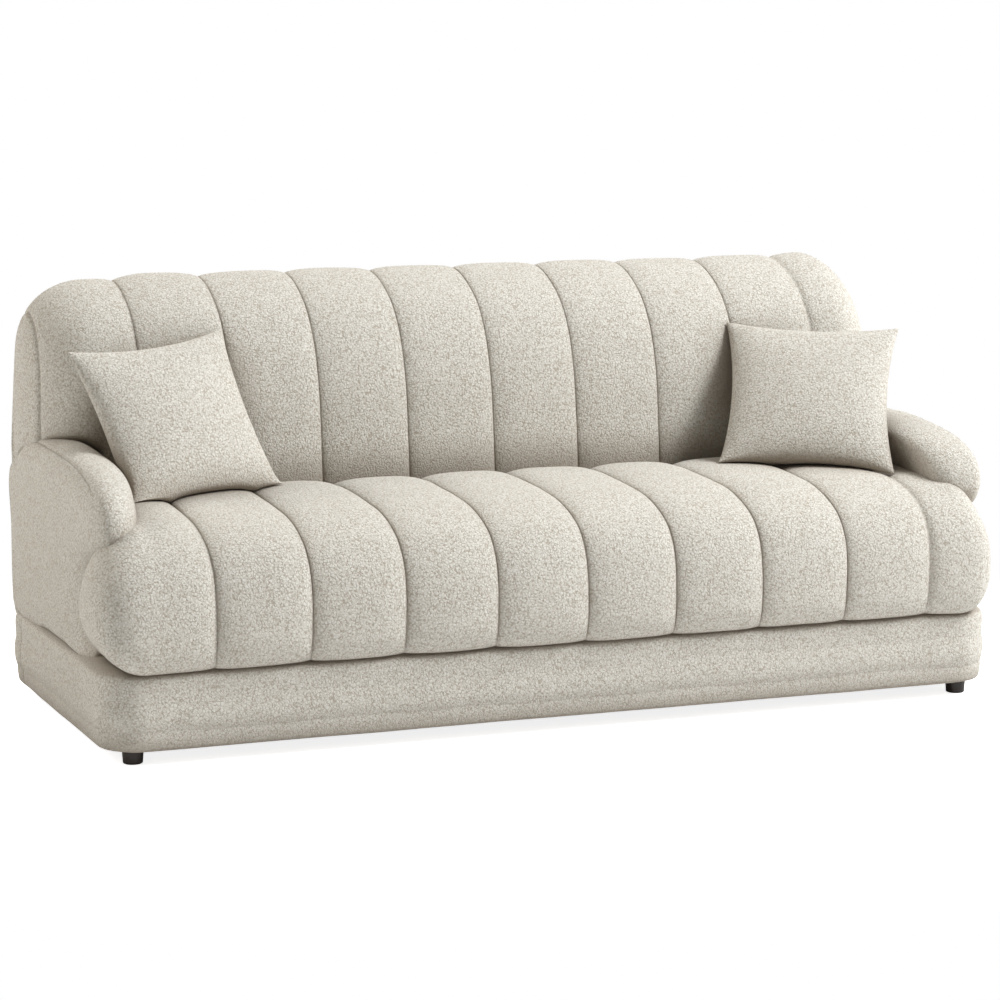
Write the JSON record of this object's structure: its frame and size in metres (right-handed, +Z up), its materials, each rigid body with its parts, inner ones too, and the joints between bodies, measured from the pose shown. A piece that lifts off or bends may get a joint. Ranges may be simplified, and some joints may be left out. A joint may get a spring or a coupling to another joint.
{
  "type": "sofa",
  "caption": "Upholstered sofa with a channelled seat and back, low rounded arms, a plinth base on short feet, and loose scatter cushions that lift away.",
  "frame": {"origin": "on the floor, under the middle of the sofa's overall length and depth", "axes": "+X along the sofa to the right of someone facing its front, the front faces -Y, +Z up"},
  "size_m": [1.91, 0.846, 0.872],
  "materials": {
    "boucle_cloth": "curly bouclé, matt",
    "polyester_wadding": "white fibre, matt",
    "foam": "open-cell polyurethane, matt",
    "foot_plastic": "dark brown, satin",
    "zinc_steel": "zinc plated",
    "spring_steel": "oiled wire",
    "clip_plastic": "moulded, matt",
    "felt": "needled felt",
    "dust_cloth": "black non-woven",
    "elastic_webbing": "woven rubber tape",
    "hardboard": "smooth pressed board",
    "plywood": "sanded birch",
    "pine": "planed softwood"
  },
  "bodies": {
    "sofa": {"arm_bolts": "zinc_steel", "arm_cover_left": "boucle_cloth", "arm_cover_right": "boucle_cloth", "arm_foam_left": "foam", "arm_foam_right": "foam", "arm_inner_panel_left": "plywood", "arm_inner_panel_right": "plywood", "arm_outer_panel_left": "plywood", "arm_outer_panel_right": "plywood", "arm_spacers_left": "pine", "arm_spacers_right": "pine", "arm_top_rail_left": "pine", "arm_top_rail_right": "pine", "back_board": "hardboard", "back_bolts": "zinc_steel", "back_cover": "boucle_cloth", "back_foam": "foam", "back_lower_slat": "pine", "back_post_left": "pine", "back_post_right": "pine", "back_stile_left": "pine", "back_stile_right": "pine", "back_top_rail": "pine", "back_upper_slat": "pine", "back_wadding": "polyester_wadding", "back_webbing": "elastic_webbing", "base_cover": "boucle_cloth", "base_front_rail": "pine", "base_inner_rail_left": "pine", "base_inner_rail_right": "pine", "base_left_rail": "pine", "base_rear_rail": "pine", "base_right_rail": "pine", "base_wadding": "polyester_wadding", "corner_block_front_left": "pine", "corner_block_front_right": "pine", "corner_block_rear_left": "pine", "corner_block_rear_right": "pine", "cross_rail_centre": "pine", "cross_rail_left": "pine", "cross_rail_right": "pine", "deck_rear_rail": "pine", "dust_cover": "dust_cloth", "foot_front_left": "foot_plastic", "foot_front_right": "foot_plastic", "foot_rear_left": "foot_plastic", "foot_rear_right": "foot_plastic", "foot_studs": "zinc_steel", "foot_tee_nuts": "zinc_steel", "seat_cover": "boucle_cloth", "seat_foam": "foam", "seat_springs": "spring_steel", "spring_clips": "clip_plastic", "spring_felt": "felt"},
    "cushion_left": {"pillow_cover_left": "boucle_cloth", "pillow_filling_left": "polyester_wadding"},
    "cushion_right": {"pillow_cover_right": "boucle_cloth", "pillow_filling_right": "polyester_wadding"}
  },
  "joints": [
    {"name": "cushion_left_lift", "type": "slide", "parent": "sofa", "child": "cushion_left", "axis": [0, 0, 1], "range_m": [0, 0.5]},
    {"name": "cushion_right_lift", "type": "slide", "parent": "sofa", "child": "cushion_right", "axis": [0, 0, 1], "range_m": [0, 0.5]}
  ]
}
